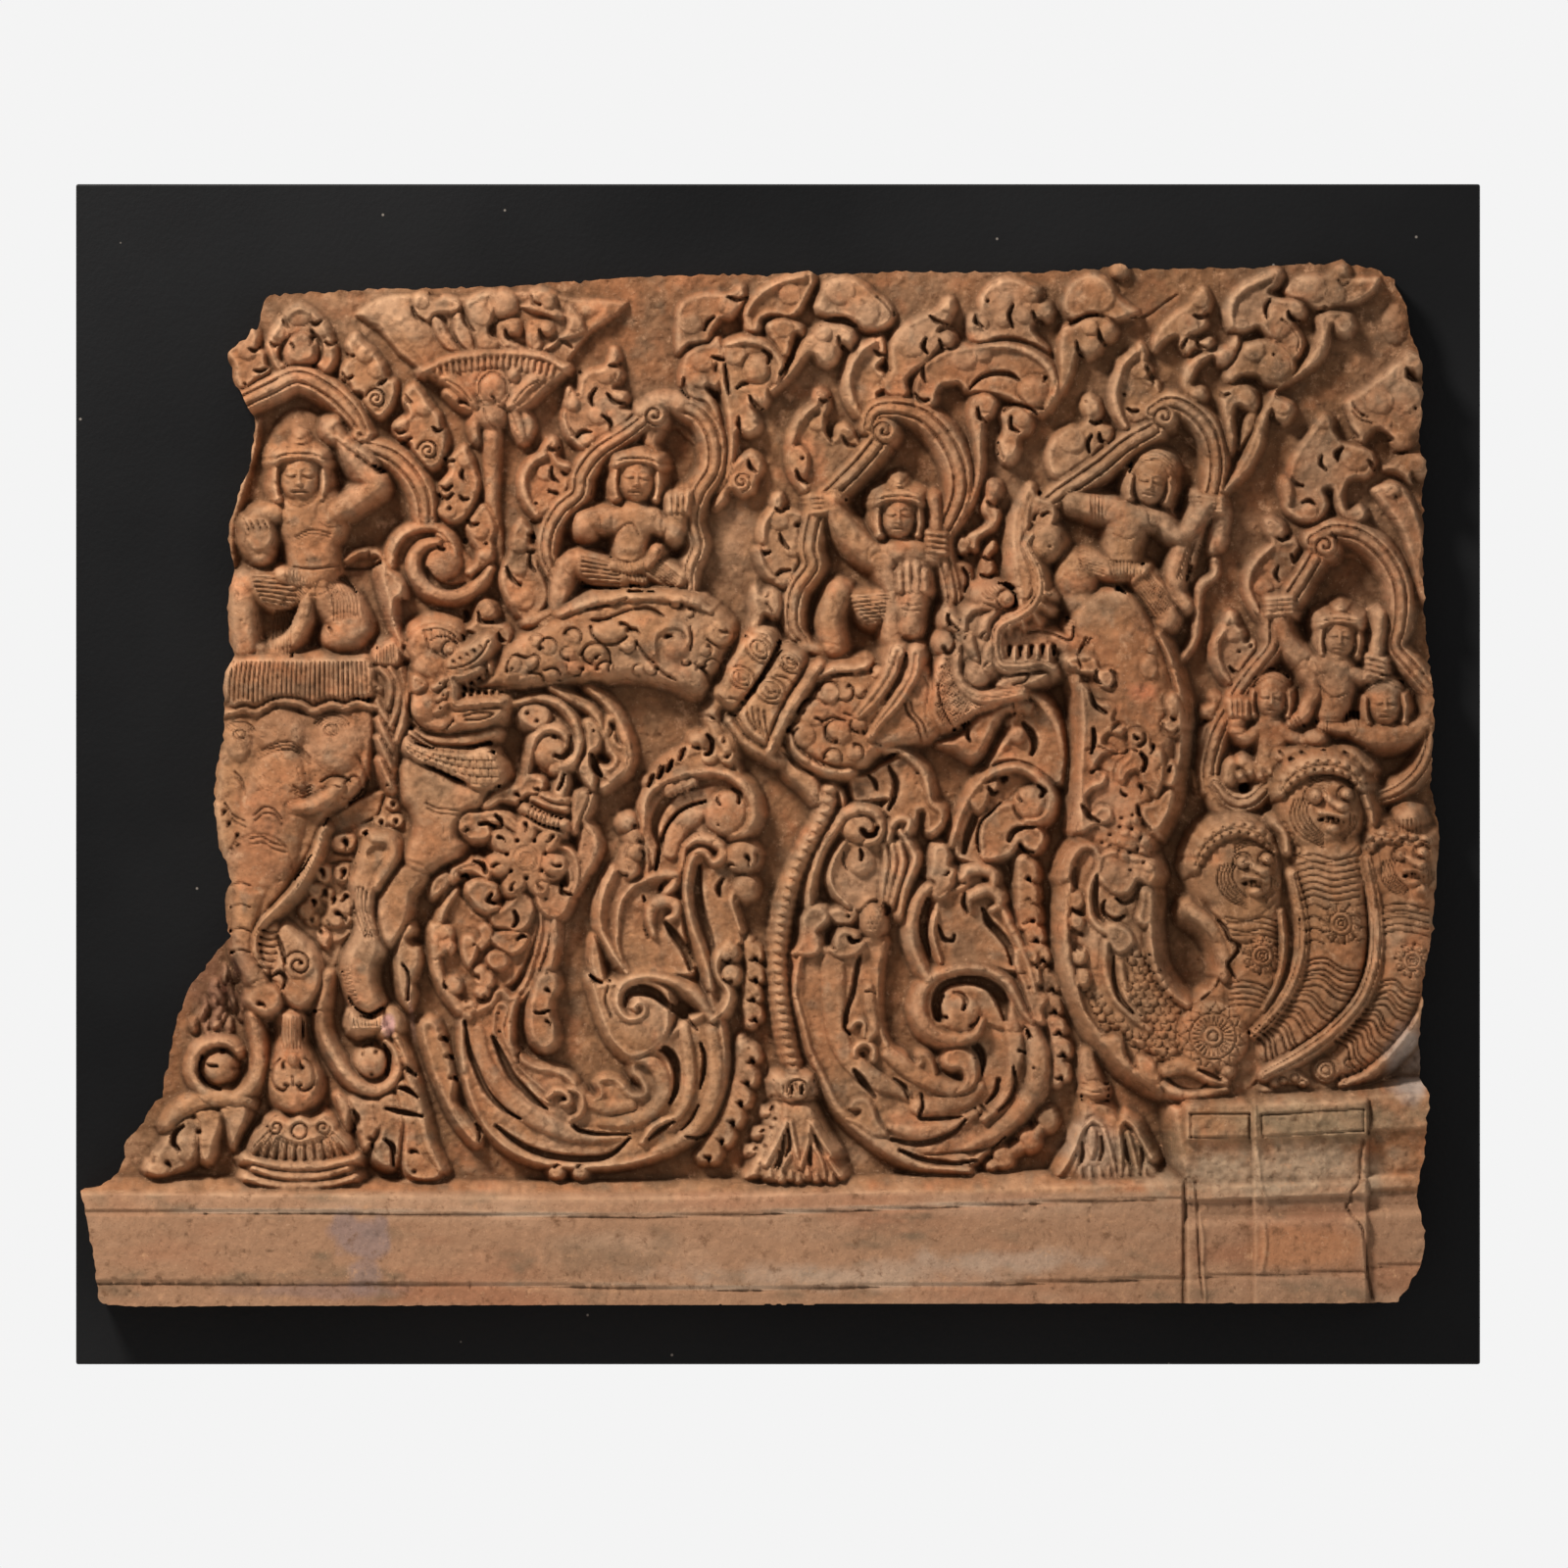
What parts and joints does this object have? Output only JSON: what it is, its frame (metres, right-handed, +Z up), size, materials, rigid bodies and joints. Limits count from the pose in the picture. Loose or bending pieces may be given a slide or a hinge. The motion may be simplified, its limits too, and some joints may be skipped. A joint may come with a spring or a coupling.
{
  "type": "terracotta relief frieze",
  "caption": "Fired clay relief slab of arched figures, hanging scrolls, an elephant and rearing serpents over a plain ledge and moulded pedestal, fixed to a black panel.",
  "frame": {"origin": "middle of the mounting panel's back face, which lies on the wall", "axes": "-Y out of the wall towards the viewer, +Z up, +X to the viewer's right"},
  "size_m": [1.079, 0.1075, 0.907],
  "materials": {
    "terracotta": "unglazed fired clay, dull, worn and dusty",
    "black_paint": "black painted board, finely pebbled, satin"
  },
  "bodies": {
    "root": {"frieze": "terracotta", "mounting_panel": "black_paint"}
  },
  "joints": []
}
